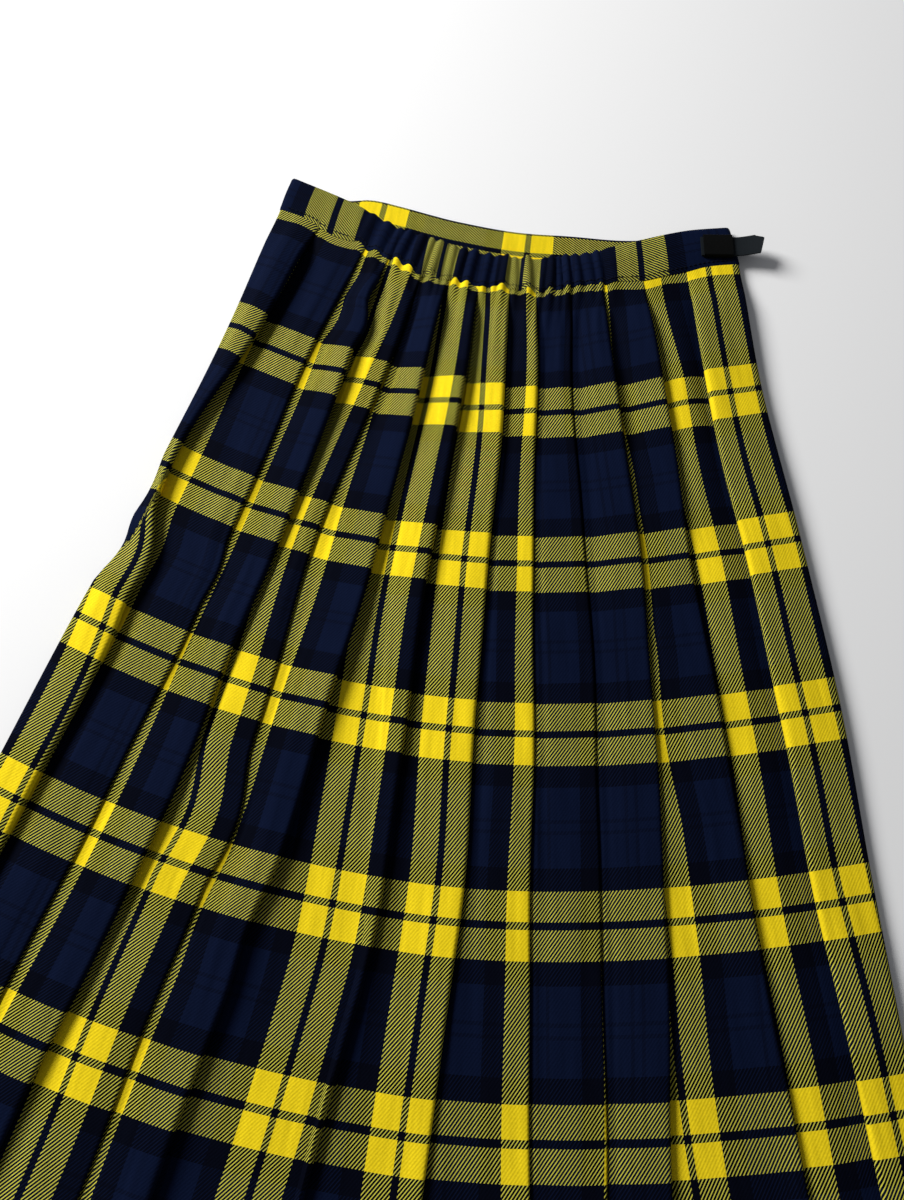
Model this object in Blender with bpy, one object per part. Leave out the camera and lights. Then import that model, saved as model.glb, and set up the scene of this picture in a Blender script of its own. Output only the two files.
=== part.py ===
# Pleated kilt skirt laid flat, front apron down and pleated back up, waistband at the +Y end.
# Every cloth piece is a true wall lofted through sections worked out from the sizes below.
# Lengths are millimetres until the meshes are made.
import math

import bpy
from mathutils import Vector

for old in list(bpy.data.objects):
    bpy.data.objects.remove(old, do_unlink=True)

WALL = 1.0            # skirt cloth
BAND_WALL = 1.6       # waistband, two layers of the cloth
GAP = 0.4             # clear space between cloth layers
SEAM = 0.3            # gap between sewn pieces
LENGTH = 730.0        # waist seam to hem
BAND_HIGH = 32.0      # waistband height
LAYER = WALL + GAP
Z_FRONT = WALL / 2    # mid-wall height of the apron on the ground
Z_BASE = WALL + GAP + WALL / 2   # mid-wall height of the lowest layer of the back
SEAM_DIP = -8.5       # y of the waist seam at the middle
FAN = 40.0            # how far the check's rows climb from the middle to a side
SIDE_KINK = (255.0, 40.0, 4.5)   # left side edge drawn in: place down the length, reach, depth
TUCK_MAX = 26.0       # deepest pleat underlay
CURL = 9.0            # how far the back rolls under at each side

# fold edges from left to right: x at seven lengths down from the waist seam, then
# puff = how full the fold stands, cloth = width of cloth that goes into the pleat
STATIONS = (0, 100, 210, 320, 430, 540, 730)
FOLD_COLUMNS = ("name", "x", "puff", "cloth")
FOLDS = (
    ("side_left", (-174, -189, -212, -240, -265, -290, -332), 0.8, 0),
    ("fold_0", (-143, -168, -204, -218, -239, -264, -306), 1.3, 70),
    ("fold_1", (-111, -133, -151, -171, -198, -226, -272), 0.9, 88),
    ("fold_2", (-88, -102, -121, -139, -160, -187, -232), 1.0, 93),
    ("fold_3", (-67, -77, -98, -110, -122, -143, -178), 0.9, 90),
    ("fold_4", (-43, -48, -58, -71, -84, -107, -134), 1.2, 120),
    ("fold_5", (-20, -19, -24, -22, -21, -32, -54), 1.1, 79),
    ("fold_6", (2, 9, 14, 19, 25, 25, 28), 0.9, 88),
    ("fold_7", (21, 32, 42, 54, 65, 77, 96), 0.8, 81),
    ("fold_8", (45, 57, 75, 92, 105, 117, 138), 0.7, 86),
    ("fold_9", (68, 87, 110, 128, 141, 152, 172), 0.9, 84),
    ("fold_10", (96, 119, 142, 167, 190, 217, 260), 0.9, 84),
    ("fold_wrap", (127, 147, 176, 202, 227, 254, 296), 1.0, 84),
    ("side_right", (164, 183, 212, 239, 260, 282, 320), 0.8, 0),
)
# how high the fold edges stand above the lowest layer, down the length
RISE_COLUMNS = ("v", "rise")
RISE = ((0, 7.0), (35, 9.5), (100, 9.5), (210, 7.5), (320, 7.0), (430, 6.5), (540, 6.0), (730, 5.0))
# the waist from left to right: y of the seam, of the back band's top edge and of the
# front band's top edge, then height of the back band at its seam and at its top edge
WAIST_COLUMNS = ("x", "seam_y", "back_top_y", "front_top_y", "seam_z", "top_z")
WAIST = (
    (-174, 32, 64, 65, 5.6, 5.2),
    (-132, 15, 50, 57, 6.6, 5.4),
    (-88, 6, 33, 52, 8.4, 5.2),
    (-44, -5, 20, 46, 10.0, 5.0),
    (0, -8, 17, 41, 10.6, 4.8),
    (44, -4, 23, 43, 9.6, 5.0),
    (88, 7, 40, 46, 7.6, 5.4),
    (130, 21, 56, 54, 6.0, 5.4),
    (164, 31, 64, 63, 5.4, 5.2),
)
GATHER_FROM, GATHER_TO = -118.0, 66.0   # elastic stretch of the back band
GATHER_COUNT = 22
GATHER_DEEP = 1.5
SECTIONS = (0.15, 12, 35, 70, 120, 180, 220, 252, 285, 325, 385, 450, 530, 620, LENGTH)
FIRST_STEP = LAYER + WALL + 0.6         # a panel climbs this far before the next fold lies under it
PANEL_STEPS = (0.0, 0.33, 0.66)         # points across a panel, from there to its fold edge

STRAP_WIDE, STRAP_THICK = 16.5, 1.6
STRAP_START, STRAP_END = -13.0, 35.0    # along the strap from the keeper's middle
STRAP_LIFT = 10.0                       # height that the free end springs up
KEEPER = (148.0, 45.0)                  # middle of the keeper on the band
KEEPER_LONG, KEEPER_WIDE, KEEPER_THICK = 24.0, 20.0, 1.5
KEEPER_TURN = math.radians(9.0)


def curve(pairs, t):
    """Smooth curve through (t, value) pairs."""
    n = len(pairs)
    if t <= pairs[0][0]:
        return float(pairs[0][1])
    if t >= pairs[-1][0]:
        return float(pairs[-1][1])
    k = max(i for i in range(n - 1) if pairs[i][0] <= t)

    def slope(i):
        a, b = max(i - 1, 0), min(i + 1, n - 1)
        return (pairs[b][1] - pairs[a][1]) / (pairs[b][0] - pairs[a][0])

    (t0, p0), (t1, p1) = pairs[k][:2], pairs[k + 1][:2]
    h = t1 - t0
    s = (t - t0) / h
    return ((2 * s**3 - 3 * s**2 + 1) * p0 + (s**3 - 2 * s**2 + s) * h * slope(k)
            + (3 * s**2 - 2 * s**3) * p1 + (s**3 - s**2) * h * slope(k + 1))


def fold_x(i, v):
    x = curve(tuple(zip(STATIONS, FOLDS[i][1])), v)
    if i == 0:
        place, reach, deep = SIDE_KINK
        x += deep * max(0.0, 1 - ((v - place) / reach) ** 2) ** 2
    return x


def waist(column, x):
    c = WAIST_COLUMNS.index(column)
    return curve(tuple((row[0], row[c]) for row in WAIST), x)


def ease(t):
    t = min(1.0, max(0.0, t))
    return t * t * (3 - 2 * t)


def spread(x, v):
    """0 at the middle of the panel to 1 at its side edge."""
    side = fold_x(0, v) if x < 0 else fold_x(len(FOLDS) - 1, v)
    return min(1.0, abs(x / side))


def waist_x(x, v):
    """Where a point of the skirt lies on the waist seam."""
    side = 0 if x < 0 else len(FOLDS) - 1
    return fold_x(side, 0) * spread(x, v)


def back_y(x, v):
    near = math.exp(-v / 60.0)
    seam = waist("seam_y", waist_x(x, v))
    if x < 0:
        fan = SEAM_DIP + FAN * spread(x, v) ** 2.1
    else:
        fan = SEAM_DIP + (FAN + 0.02 * v) * spread(x, v) ** 1.7
    return near * seam + (1 - near) * fan - v


def front_y(x, v):
    seam = waist("front_top_y", waist_x(x, v)) - BAND_HIGH
    return seam - SEAM - v + 0.018 * v * spread(x, v) ** 1.7


def fold_rise(i, v):
    at_seam = waist("seam_z", min(150.0, max(-160.0, fold_x(i, 0)))) - Z_BASE
    puffed = max(3.8, curve(RISE, v) * FOLDS[i][2])
    k = ease(v / 30.0)
    return at_seam * (1 - k) + puffed * k


def roll(rise):
    return min(2.4, 0.4 * (rise - LAYER))


def underlay(i, v):
    wide = fold_x(i, v) - fold_x(i - 1, v)
    deep = min(TUCK_MAX, 0.68 * wide, 0.5 * (FOLDS[i][3] - wide))
    if i == 1:
        deep = min(deep, wide - side_tuck(wide) - 3.0)
    return max(3.0, deep)


def side_tuck(wide):
    """How far a side edge rolls under, where its outer strip is this wide."""
    return min(CURL, 0.22 * wide)


def panel_z(x, a, b, end, rise):
    """Height of a panel over the lowest layer: a first step up, then a long slope to its fold edge."""
    return FIRST_STEP * ease((x - a) / (b - a)) + (rise - FIRST_STEP) * max(0.0, (x - b) / (end - b)) ** 0.8


def back_section(v):
    """Mid-wall points (x, z) of the pleated back, from its left side edge to its right."""
    last = len(FOLDS) - 1
    wrap = last - 1
    pts = []
    # left side: rolls under, then over the top to the first fold
    left, first = fold_x(0, v), fold_x(1, v)
    rise = fold_rise(0, v)
    turn = min(3.0, 0.2 * (first - left))
    tuck = side_tuck(first - left)
    pts += [(left + tuck, Z_BASE), (left + 0.6 * turn, Z_BASE + 0.1 * rise), (left, Z_BASE + 0.45 * rise),
            (left + 0.4 * turn, Z_BASE + 0.85 * rise), (left + turn, Z_BASE + rise)]
    pts.append((0.5 * (left + first), Z_BASE + 0.5 * (rise + fold_rise(1, v))))
    for i in range(1, wrap):
        x, rise, deep = fold_x(i, v), fold_rise(i, v), underlay(i, v)
        r = roll(rise)
        if i > 1:
            a, b = fold_x(i - 1, v) + 1.0, x - deep - 1.6
            end = x - r
            pts.append((a, Z_BASE))
            for t in PANEL_STEPS:
                px = b + t * (end - b)
                pts.append((px, Z_BASE + panel_z(px, a, b, end, rise)))
        top = Z_BASE + rise
        pts += [(x - r, top), (x - 0.13 * r, top - 0.5 * r), (x - 0.13 * r, top - 1.5 * r),
                (x - r, top - 2 * r)]
        inner = x - deep
        pts += [(inner + 0.7, Z_BASE + LAYER), (inner, Z_BASE + LAYER / 2), (inner + 0.7, Z_BASE)]
    # the last panel runs flat under the wrap edge and turns back at its inner fold
    a, edge, right = fold_x(wrap - 1, v) + 1.0, fold_x(wrap, v), fold_x(last, v)
    wide = right - edge
    rise = fold_rise(wrap, v)
    side = fold_rise(last, v)
    tuck = min(CURL, 0.25 * wide)
    deep = max(4.0, min(23.0, wide - tuck - 5.0))
    for t, z in ((0.0, 0.0), (0.3, 0.32), (0.6, 0.26), (0.94, 0.0)):
        pts.append((a + t * (edge - a), Z_BASE + z * rise))
    inner = edge + deep
    pts += [(inner - 0.7, Z_BASE), (inner, Z_BASE + LAYER / 2), (inner - 0.7, Z_BASE + LAYER)]
    r = roll(rise)
    top = Z_BASE + rise
    pts += [(edge + r, top - 2 * r), (edge + 0.13 * r, top - 1.5 * r), (edge + 0.13 * r, top - 0.5 * r),
            (edge + r, top)]
    turn = 3.0
    pts.append((0.5 * (edge + right), Z_BASE + 0.5 * (rise + max(side, 4.2))))
    side = max(side, 4.2)
    pts += [(right - turn, Z_BASE + side), (right - 0.4 * turn, Z_BASE + 0.85 * side),
            (right, Z_BASE + 0.45 * side), (right - 0.6 * turn, Z_BASE + 0.1 * side), (right - tuck, Z_BASE)]
    return pts


def offset(pts, half):
    """The chain moved to both sides by half the wall, with mitred corners."""
    up, down = [], []
    for k, (x, z) in enumerate(pts):
        normals = []
        for a, b in ((k - 1, k), (k, k + 1)):
            if a >= 0 and b < len(pts):
                dx, dz = pts[b][0] - pts[a][0], pts[b][1] - pts[a][1]
                size = math.hypot(dx, dz)
                normals.append((-dz / size, dx / size))
        nx, nz = sum(n[0] for n in normals), sum(n[1] for n in normals)
        size = math.hypot(nx, nz)
        nx, nz = nx / size, nz / size
        grow = half / max(0.6, nx * normals[0][0] + nz * normals[0][1])
        up.append((x + nx * grow, z + nz * grow))
        down.append((x - nx * grow, z - nz * grow))
    return up, down


def solid(name, upper, lower, colour, rough):
    """A closed wall from two grids of points, rows by columns, in millimetres."""
    rows, cols = len(upper), len(upper[0])
    verts = [p for row in upper for p in row] + [p for row in lower for p in row]
    low = rows * cols
    faces = []
    for r in range(rows - 1):
        for c in range(cols - 1):
            a, b = r * cols + c, r * cols + c + 1
            d, e = a + cols, b + cols
            faces.append((a, d, e, b))
            faces.append((low + a, low + b, low + e, low + d))
    for c in range(cols - 1):
        a, b = c, c + 1
        faces.append((a, b, low + b, low + a))
        a, b = (rows - 1) * cols + c, (rows - 1) * cols + c + 1
        faces.append((a, low + a, low + b, b))
    for r in range(rows - 1):
        a, b = r * cols, (r + 1) * cols
        faces.append((a, low + a, low + b, b))
        a, b = r * cols + cols - 1, (r + 1) * cols + cols - 1
        faces.append((a, b, low + b, low + a))
    mesh = bpy.data.meshes.new(name)
    mesh.from_pydata([Vector(p) * 0.001 for p in verts], [], faces)
    mesh.update()
    mat = bpy.data.materials.new(name)
    mat.use_nodes = True
    shader = mat.node_tree.nodes["Principled BSDF"]
    shader.inputs["Base Color"].default_value = (*colour, 1.0)
    shader.inputs["Roughness"].default_value = rough
    shader.inputs["Metallic"].default_value = 0.0
    mesh.materials.append(mat)
    ob = bpy.data.objects.new(name, mesh)
    bpy.context.scene.collection.objects.link(ob)
    return ob


NAVY = (0.012, 0.018, 0.05)
YELLOW = (0.55, 0.45, 0.04)
BLACK = (0.015, 0.016, 0.018)


def make_back():
    upper, lower = [], []
    for v in SECTIONS:
        up, down = offset(back_section(v), WALL / 2)
        upper.append([(x, back_y(x, v), z) for x, z in up])
        lower.append([(x, back_y(x, v), z) for x, z in down])
    return solid("skirt_back", upper, lower, NAVY, 0.85)


def make_front():
    upper, lower = [], []
    last = len(FOLDS) - 1
    steps = 16
    for v in SECTIONS:
        left, right = fold_x(0, v) + 3.0, fold_x(last, v) - 3.0
        xs = [left + (right - left) * k / steps for k in range(steps + 1)]
        upper.append([(x, front_y(x, v), WALL) for x in xs])
        lower.append([(x, front_y(x, v), 0.0) for x in xs])
    return solid("skirt_front", upper, lower, NAVY, 0.85)


def band_narrow(x, q):
    """The band's right end leans in towards its top edge, its left end a little."""
    return x * (1 - q * (0.055 if x > 0 else 0.022))


def gather(x):
    if not GATHER_FROM < x < GATHER_TO:
        return 0.0
    t = (x - GATHER_FROM) / (GATHER_TO - GATHER_FROM)
    return GATHER_DEEP * math.sin(2 * math.pi * GATHER_COUNT * t) * min(1.0, 8 * t, 8 * (1 - t))


def band_z(x, q):
    flat = (1 - q) * waist("seam_z", x) + q * waist("top_z", x) + 1.2 * math.sin(math.pi * q)
    return flat + gather(x) * (0.55 + 0.45 * math.sin(math.pi * q))


def make_back_band():
    left, right = WAIST[0][0], WAIST[-1][0]
    low = BAND_WALL + 0.35 + BAND_WALL / 2
    wave = (GATHER_TO - GATHER_FROM) / GATHER_COUNT
    xs = [left + 3 + (GATHER_FROM - left - 3) * k / 6 for k in range(6)]
    xs += [GATHER_FROM + wave * k / 4 for k in range(4 * GATHER_COUNT + 1)]
    xs += [GATHER_TO + (right - 3 - GATHER_TO) * k / 8 for k in range(1, 9)]
    upper, lower = [], []
    for q in (0.0, 0.25, 0.5, 0.75, 1.0):
        z_l, z_r = band_z(xs[0], q), band_z(xs[-1], q)
        pts = [(left + CURL, low), (left + 1.4, low + 0.2), (left, 0.5 * (low + z_l)), (left + 1, z_l - 0.4)]
        pts += [(x, band_z(x, q)) for x in xs]
        pts += [(right - 1, z_r - 0.4), (right, 0.5 * (low + z_r)), (right - 1.4, low + 0.2), (right - CURL, low)]
        up, down = offset(pts, BAND_WALL / 2)
        for chain, grid in ((up, upper), (down, lower)):
            grid.append([(band_narrow(x, q), (1 - q) * (waist("seam_y", x) + 0.15)
                          + q * waist("back_top_y", x), z) for x, z in chain])
    upper.reverse()
    lower.reverse()
    return solid("waistband_back", upper, lower, YELLOW, 0.85)


def make_front_band():
    left, right = WAIST[0][0] + 3, WAIST[-1][0] - 3
    steps = 24
    xs = [left + (right - left) * k / steps for k in range(steps + 1)]
    upper, lower = [], []
    for q in (1.0, 0.5, 0.0):
        row = [(band_narrow(x, q), waist("front_top_y", x) - BAND_HIGH * (1 - q)) for x in xs]
        upper.append([(x, y, BAND_WALL) for x, y in row])
        lower.append([(x, y, 0.0) for x, y in row])
    return solid("waistband_front", upper, lower, YELLOW, 0.85)


def on_hip(along, across, z):
    """A point given along and across the strap, in the skirt's frame."""
    c, s = math.cos(KEEPER_TURN), math.sin(KEEPER_TURN)
    return (KEEPER[0] + along * c - across * s, KEEPER[1] + along * s + across * c, z)


def strap_z(along):
    """Underside of the strap: flat on the band, springing up past the band's end."""
    free = max(0.0, along - 13.0) / (STRAP_END - 13.0)
    return 7.6 + STRAP_LIFT * free ** 1.4


def make_strap():
    upper, lower = [], []
    steps = 14
    for across in (1.0, 0.45, -0.45, -1.0):
        # the free end is cut on the slant, with its upper corner taken off
        end = STRAP_END - (7.0 if across > 0.9 else 0.0) - 4.0 * (1 - across) / 2
        alongs = [STRAP_START + (end - STRAP_START) * k / steps for k in range(steps + 1)]
        y = across * STRAP_WIDE / 2
        lower.append([on_hip(a, y, strap_z(a)) for a in alongs])
        upper.append([on_hip(a, y, strap_z(a) + STRAP_THICK) for a in alongs])
    return solid("adjuster_strap", upper, lower, BLACK, 0.55)


def make_keeper():
    under = 7.6
    inner = STRAP_WIDE / 2 + 0.35
    outer = KEEPER_WIDE / 2
    top = under + STRAP_THICK + 0.35
    half = KEEPER_THICK
    # a channel section over the strap: leg, plate, leg
    outline_out = [(outer, under), (outer, top + half - 0.5), (outer - 0.6, top + half),
                   (-outer + 0.6, top + half), (-outer, top + half - 0.5), (-outer, under)]
    outline_in = [(inner, under), (inner, top - 0.3), (inner - 0.3, top),
                  (-inner + 0.3, top), (-inner, top - 0.3), (-inner, under)]
    ends = (-KEEPER_LONG / 2, -KEEPER_LONG / 6, KEEPER_LONG / 6, KEEPER_LONG / 2)
    upper = [[on_hip(a, y, z) for a in ends] for y, z in outline_out]
    lower = [[on_hip(a, y, z) for a in ends] for y, z in outline_in]
    return solid("adjuster_keeper", upper, lower, BLACK, 0.5)


pieces = [make_back(), make_front(), make_back_band(), make_front_band(), make_strap(), make_keeper()]

# the origin is under the middle of the whole skirt, on the ground
corners = [v.co for ob in pieces for v in ob.data.vertices]
centre = Vector(((min(c.x for c in corners) + max(c.x for c in corners)) / 2,
                 (min(c.y for c in corners) + max(c.y for c in corners)) / 2,
                 min(c.z for c in corners)))
for ob in pieces:
    for v in ob.data.vertices:
        v.co -= centre
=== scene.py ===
import math
from collections import namedtuple

import bpy
from mathutils import Matrix, Vector


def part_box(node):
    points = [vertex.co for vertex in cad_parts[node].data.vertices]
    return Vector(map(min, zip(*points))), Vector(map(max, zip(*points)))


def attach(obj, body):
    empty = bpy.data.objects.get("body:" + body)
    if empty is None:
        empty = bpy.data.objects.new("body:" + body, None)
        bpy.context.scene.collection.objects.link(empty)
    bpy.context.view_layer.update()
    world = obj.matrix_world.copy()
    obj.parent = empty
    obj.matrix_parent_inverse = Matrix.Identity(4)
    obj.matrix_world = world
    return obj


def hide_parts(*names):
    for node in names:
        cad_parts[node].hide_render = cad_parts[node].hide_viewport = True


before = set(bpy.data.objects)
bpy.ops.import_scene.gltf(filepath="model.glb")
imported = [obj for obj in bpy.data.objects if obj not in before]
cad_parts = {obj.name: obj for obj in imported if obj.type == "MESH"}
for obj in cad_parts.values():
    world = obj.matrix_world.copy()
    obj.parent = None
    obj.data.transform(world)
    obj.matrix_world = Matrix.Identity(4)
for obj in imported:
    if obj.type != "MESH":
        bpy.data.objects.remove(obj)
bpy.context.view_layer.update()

# Sizes are in millimetres, as in the part's source. A place down the skirt is counted from the waist seam.
WALL = 1.0
BAND_WALL = 1.6
GAP = 0.4
SEAM = 0.3             # gap between the front and its band
LENGTH = 730.0
BAND_HIGH = 32.0
HEM = 31.0             # height of the turned-up hem
LAYER = WALL + GAP
Z_BASE = WALL + GAP + WALL / 2     # the back's wall where it lies on the front
SEAM_DIP = -8.5        # the middle of each row down the back lies this far below the zero line
FAN = 40.0             # and its ends rise this far above its middle
FAN_LEFT, FAN_RIGHT, FAN_MORE = 2.1, 1.7, 0.02     # how the rise grows to each side, and down the right
FRONT_FAN = 0.018      # the same down the front
SEAM_FADE, DRAWN_FADE, WAVE_FADE = 60.0, 26.0, 9.0    # how far down the seam's line, draw and wave reach
SIDE_KINKS = ((234.0, 30.0, 3.0), (275.0, 27.0, 5.5))   # place down, reach, how far in
TUCK_MAX = 26.0        # deepest underlay behind a fold
CURL = 9.0             # how far the sides roll under
FIRST_STEP = LAYER + WALL + 0.6    # a panel climbs this far over the underlay of its own fold
SHELL = 0.45           # half thickness of the cloth shells

# the check: repeat across and along the cloth, and where its row lines fall below the seam
SETT_ACROSS, SETT_ALONG = 100.0, 111.0
FIRST_LINE = 102.0    # first dark line between yellow stripes, below the waist seam
LINE_IN_SETT = 18.8   # where that line lies in a repeat
YELLOW_ENDS = 0.34    # part of a repeat at which its second yellow stripe ends
TWILL_ACROSS, TWILL_ALONG = 2.0, 2.8
RIB_UNSHADED_PART, RIB_UNSHADED_WEIGHT = 0.68, 0.88   # part of a rib that shows its own yarn, and how much of that yarn's colour shows on it; the rest of the rib and the gap between ribs get painted shade in the darker yarn's colour

# fold edges: x at seven lengths down, how full the fold stands, cloth in the pleat, and the
# check's place at the edge at the waist and 550 mm down, and how deep the valley right of it is (0 to 1)
STATIONS = (0, 100, 210, 320, 430, 540, 730)
CHECK_LOW = 550.0
Fold = namedtuple("Fold", "name x puff cloth check_top check_low valley")
FOLDS = [Fold(*row) for row in (
    ("side_left", (-174, -189, -212, -240, -265, -290, -332), 0.8, 0, 0, 0, 1.0),
    ("fold_0", (-143, -168, -204, -212, -237, -262, -304), 1.15, 70, 76, 76, 1.0),
    ("fold_1", (-106, -130, -151, -171, -198, -226, -272), 0.62, 88, 75.5, 75.5, 0.35),
    ("fold_2", (-88, -102, -118.5, -139, -160, -187, -232), 1.05, 93, 60, 67, 0.9),
    ("fold_3", (-62, -76, -98, -110, -122, -143, -178), 0.66, 90, 47, 47, 0.35),
    ("fold_4", (-43, -48, -58, -71, -84, -107, -134), 1.25, 120, 65, 67, 1.0),
    ("fold_5", (-20, -19, -24, -22, -21, -32, -54), 1.1, 79, 43, 48, 0.75),
    ("fold_6", (2, 9, 14, 19, 25, 25, 28), 0.85, 88, 33.7, 33, 0.6),
    ("fold_7", (21, 32, 42, 54, 65, 77, 96), 0.66, 81, 8, 15, 0.35),
    ("fold_8", (45, 57, 75, 92, 105, 117, 138), 0.56, 86, 93, 101.6, 0.15),
    ("fold_9", (68, 87, 110, 128, 141, 152, 172), 0.9, 84, 85, 85, 0.6),
    ("fold_10", (96, 119, 142, 167, 190, 217, 260), 0.85, 84, 61, 70, 0.5),
    ("fold_wrap", (127, 147, 176, 202, 227, 254, 296), 1.0, 84, 46.5, 55, 1.0),
    ("side_right", (164, 183, 212, 239, 260, 282, 320), 0.8, 0, 37, 37, 1.0),
)]
# In the tables below, a fold or pleat is named by the number of its row in FOLDS, counted from 0.
# where a fold edge bends aside: fold, place down the length, reach, shift
BENDS = ((1, 272.0, 34.0, 6.5), (2, 264.0, 26.0, 2.5), (3, 38.0, 16.0, -1.5), (3, 63.0, 20.0, 3.5),
         (4, 403.0, 44.0, 6.0), (5, 457.0, 40.0, -3.0))
# how high the folds stand: place down the length, height
RISE = ((0, 7.0), (35, 9.5), (100, 9.5), (210, 7.5), (320, 7.0), (430, 6.5), (540, 6.0), (730, 5.0))
# where the check shifts across at a fold edge: fold, place down, reach, shift
CHECK_SHIFTS = ((3, 0.0, 85.0, -9.0), (4, 0.0, 100.0, -5.0), (11, 80.0, 90.0, 5.0), (11, 215.0, 50.0, -3.0),
                (11, 325.0, 60.0, 3.5), (11, 550.0, 100.0, 4.5), (12, 0.0, 95.0, 6.5))
# the side panel narrows to nothing down the left side: place down, x of its end; what comes out from
# under it lies this much further on in the check
SIDE_END = ((205, -200), (226, -207), (246, -212), (271, -221), (290, -238))
SIDE_CHECK, SIDE_CHECK_LOSS = 50.0, 3.0
WRAP_PLACE = 2.0      # the check's place at the wrap edge
SIDE_SEAM = -142.0    # a small tuck shows at the side seam
# the waist across the skirt: the back's seam and top edge, the front's top edge, and how high the
# back band's middle lies at its seam and its top
WAIST_COLUMNS = ("x", "seam_y", "back_top_y", "front_top_y", "seam_z", "top_z")
WAIST = (
    (-174, 32, 64, 65, 5.6, 5.2),
    (-132, 15, 50, 52, 6.4, 5.4),
    (-112, 10, 42, 55, 7.0, 5.3),
    (-88, 6, 30.5, 52, 7.6, 5.2),
    (-66, 0, 26, 48, 8.2, 5.1),
    (-44, -5, 20, 44.5, 8.6, 5.0),
    (0, -8, 16.5, 41, 8.9, 4.8),
    (44, -4, 23, 43, 8.5, 5.0),
    (88, 7, 40, 45, 7.2, 5.4),
    (130, 21, 56, 54, 6.0, 5.4),
    (164, 31, 64, 63, 5.4, 5.2),
)
# where the drawn-up seam really runs, and how much of the first yellow stripe shows under it
SEAM_COLUMNS = ("x", "y", "stripe")
SEAM_LINE = (
    (-174, 34.2, 7.4), (-150, 26.3, 5.6), (-130, 15.3, 5.8), (-112, 10.8, 5.6), (-100, 5.5, 5.2),
    (-88, 1.1, 5.0), (-75, -3.0, 5.2), (-62, -10.2, 6.2), (-40, -11.7, 5.2), (-20, -13.6, 5.6),
    (0, -12.4, 4.8), (20, -13.6, 4.4), (32, -10.5, 5.0), (44, -6.3, 5.8), (56, -1.6, 5.0),
    (66, 0.4, 6.0), (78, 3.7, 5.8), (96, 7.4, 6.8), (112, 14.1, 5.8), (126, 19.6, 7.0),
    (140, 26.0, 7.0), (164, 32.4, 7.6),
)
# long soft ridges in the pleats: pleat, place across it (0 to 1), from and to down it, half width, height
Crease = namedtuple("Crease", "pleat across start end half high")
CREASES = [Crease(*row) for row in (
    (1, 0.55, 0, 150, 9, 0.9), (2, 0.60, 0, 125, 8, 1.3), (2, 0.80, 180, 330, 7, 0.9),
    (2, 0.55, 380, 560, 10, 0.9), (3, 0.70, 0, 90, 5, 1.6), (3, 0.60, 230, 340, 6, 1.1),
    (3, 0.70, 430, 600, 8, 0.9), (4, 0.50, 0, 130, 4, 1.8), (4, 0.75, 160, 300, 5, 1.0),
    (4, 0.60, 620, 730, 8, 0.8), (5, 0.75, 0, 80, 4.5, 1.4), (5, 0.60, 300, 520, 8, 1.1),
    (5, 0.80, 560, 730, 8, 0.9), (6, 0.60, 0, 60, 4, 1.3), (6, 0.70, 440, 640, 9, 1.0),
    (7, 0.70, 0, 100, 4, 1.1), (7, 0.60, 250, 420, 5, 0.8), (8, 0.60, 0, 70, 4, 1.1),
    (8, 0.70, 330, 520, 7, 0.8), (9, 0.65, 0, 110, 4.5, 1.2), (9, 0.60, 380, 600, 8, 0.9),
    (10, 0.70, 0, 90, 5, 1.1), (10, 0.50, 260, 400, 7, 0.8), (11, 0.70, 0, 70, 5, 0.9),
    (11, 0.60, 300, 520, 8, 0.9), (13, 0.50, 120, 300, 8, 0.6), (13, 0.40, 420, 640, 9, 0.7),
)]
# soft ridges pressed into the front, which lies underneath: x at the waist and at the hem, half width,
# height
Press = namedtuple("Press", "top_x low_x half high")
PRESSES = [Press(*row) for row in (
    (-120, -230, 16, 0.30), (-78, -150, 11, 0.22), (-30, -52, 18, 0.32), (14, 30, 12, 0.20),
    (58, 104, 15, 0.30), (112, 214, 19, 0.26),
)]
# soft ridges of the cloth bunched on the elastic: x at the seam and at the top, half width, height, and
# how far each pulls the seam up
Gather = namedtuple("Gather", "low_x top_x half high pull")
GATHERS = [Gather(*row) for row in (
    (-110, -106, 5.0, 1.1, 1.2), (-97, -94, 5.5, 1.6, 1.2), (-89, -84, 4.0, 1.3, 0),
    (-81.5, -77, 4.4, 1.9, 1.4), (-71, -67, 4.6, 1.9, 1.1), (-63, -60, 3.0, 1.3, 0),
    (-55, -53, 4.0, 1.8, 1.3), (-49.5, -49, 2.4, 1.0, 0), (-43, -43, 3.4, 1.2, 0),
    (-37, -35, 3.4, 1.6, 1.3), (-28.5, -27, 4.4, 1.9, 0.9), (-17, -16, 3.8, 1.6, 0),
    (-9, -8, 3.2, 1.2, 0.3), (-3.5, -3, 4.0, 1.9, 1.2), (6, 3, 3.0, 1.0, 0),
    (15.5, 12, 5.0, 2.0, 1.2), (24, 26, 2.8, 1.2, 0), (31, 31, 3.8, 2.1, 1.3),
    (38, 36, 2.6, 1.2, 0), (43.5, 41, 3.4, 1.9, 1.0), (51, 48, 4.2, 1.5, 0.3),
    (60, 56, 4.6, 1.0, 0.2), (66.5, 64, 3.0, 1.2, 0.8), (75, 72, 5.0, 0.6, 0),
)]
GATHER_FROM, GATHER_TO = -116.0, 78.0
SEAM_PULL, SEAM_FLOOR, SEAM_SOFT = 2.5, 1.2, 1.35   # the seam's wave: reach up, reach down, width
GATHER_SCALE = 1.3
GATHER_FLOOR = 0.95   # how far the troughs between the ridges lie under the flat band
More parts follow.
